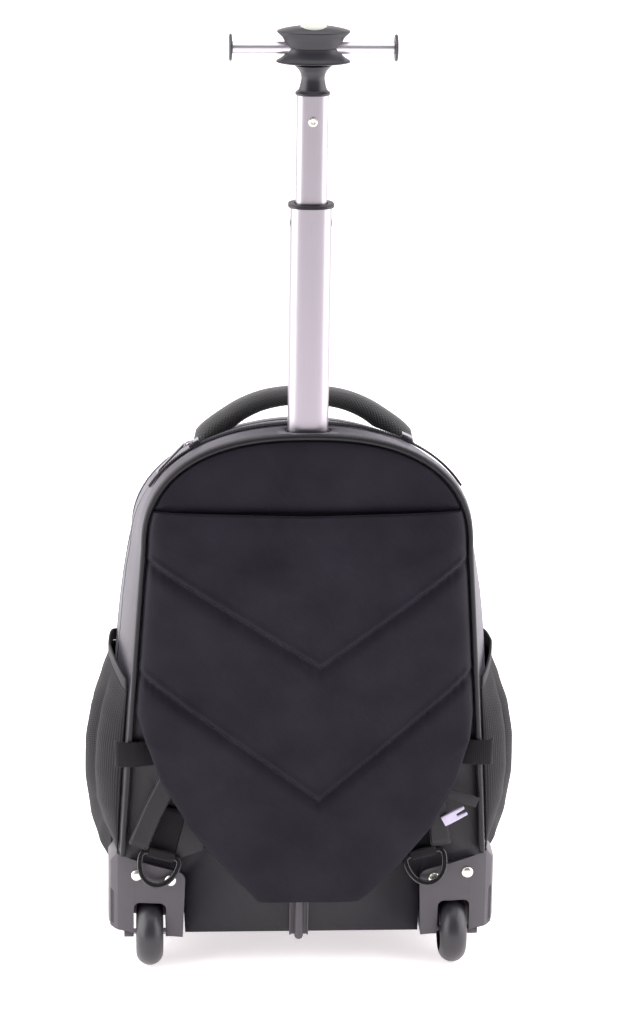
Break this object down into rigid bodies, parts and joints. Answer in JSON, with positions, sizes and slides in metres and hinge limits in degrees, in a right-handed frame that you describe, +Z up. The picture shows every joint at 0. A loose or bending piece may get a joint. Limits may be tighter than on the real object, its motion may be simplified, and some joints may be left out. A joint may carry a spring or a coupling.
{
  "type": "wheeled backpack",
  "caption": "Wheeled backpack with a padded harness flap, mesh side pockets, corner wheels and a telescopic trolley with a T-handle.",
  "frame": {"origin": "on the floor, under the centre of the bounding box", "axes": "+Z up along the trolley, +Y from the back panel and trolley to the bag's front, +X to the right seen from behind"},
  "size_m": [0.411, 0.227, 0.901],
  "materials": {
    "bag_fabric": "fine matt twill, black",
    "padded_fabric": "soft padded twill, black",
    "pocket_mesh": "ribbed stretch mesh, dark grey",
    "webbing": "woven webbing, black",
    "binding": "woven binding, black",
    "moulded_plastic": "satin, dark grey",
    "ring_plastic": "glossy, black",
    "handle_plastic": "satin, black",
    "tyre": "smooth, black",
    "tube_metal": "brushed",
    "bright_metal": "plated",
    "zip_metal": "plated",
    "buckle_plastic": "glossy, pale grey"
  },
  "bodies": {
    "bag": {"rear_shell": "bag_fabric", "front_shell": "bag_fabric", "rear_piping": "binding", "front_piping": "binding", "upper_back_pad": "padded_fabric", "harness_flap": "padded_fabric", "shoulder_strap_left": "padded_fabric", "ring_webbing_left": "webbing", "d_ring_left": "ring_plastic", "strap_anchor_left": "bag_fabric", "side_tab_left": "webbing", "shoulder_strap_right": "padded_fabric", "ring_webbing_right": "webbing", "d_ring_right": "ring_plastic", "strap_anchor_right": "bag_fabric", "side_tab_right": "webbing", "strap_buckle": "buckle_plastic", "buckle_tail": "webbing", "mesh_pocket_left": "pocket_mesh", "pocket_binding_left": "binding", "mesh_pocket_right": "pocket_mesh", "pocket_binding_right": "binding", "wheel_housing_left": "moulded_plastic", "rivet_inner_left": "bright_metal", "rivet_outer_left": "bright_metal", "axle_left": "bright_metal", "wheel_housing_right": "moulded_plastic", "rivet_inner_right": "bright_metal", "rivet_outer_right": "bright_metal", "axle_right": "bright_metal", "foot_rail": "moulded_plastic", "front_foot_left": "moulded_plastic", "front_foot_right": "moulded_plastic", "carry_handle": "padded_fabric", "zip": "binding", "zip_slider_left": "zip_metal", "zip_slider_right": "zip_metal", "zip_ring_left": "zip_metal", "zip_pull_left": "zip_metal", "trolley_sleeve": "moulded_plastic"},
    "lower_stage": {"lower_tube": "tube_metal", "tube_collar": "handle_plastic", "lock_pin_left": "handle_plastic", "lock_pin_right": "handle_plastic"},
    "upper_stage": {"upper_tube": "tube_metal", "tube_screw": "bright_metal", "grip_neck": "handle_plastic", "grip_lower": "handle_plastic", "grip_upper": "handle_plastic", "cross_bar": "tube_metal", "bar_cap_left": "handle_plastic", "bar_cap_right": "handle_plastic"},
    "button": {"push_button": "handle_plastic"},
    "wheel_left": {"tyre_left": "tyre", "wheel_hub_left": "moulded_plastic"},
    "wheel_right": {"tyre_right": "tyre", "wheel_hub_right": "moulded_plastic"}
  },
  "joints": [
    {"name": "lower_slide", "type": "slide", "parent": "bag", "child": "lower_stage", "axis": [0, 0, 1], "range_m": [-0.205, 0]},
    {"name": "upper_slide", "type": "slide", "parent": "lower_stage", "child": "upper_stage", "axis": [0, 0, 1], "range_m": [-0.0935, 0.12]},
    {"name": "button_press", "type": "slide", "parent": "upper_stage", "child": "button", "axis": [0, 0, 1], "range_m": [-0.0025, 0], "stiffness_N_per_m": 800},
    {"name": "left_wheel_spin", "type": "hinge", "parent": "bag", "child": "wheel_left", "pos_m": [-0.14425, -0.0815, 0.032], "axis": [1, 0, 0], "continuous": true},
    {"name": "right_wheel_spin", "type": "hinge", "parent": "bag", "child": "wheel_right", "pos_m": [0.14425, -0.0815, 0.032], "axis": [1, 0, 0], "continuous": true}
  ]
}
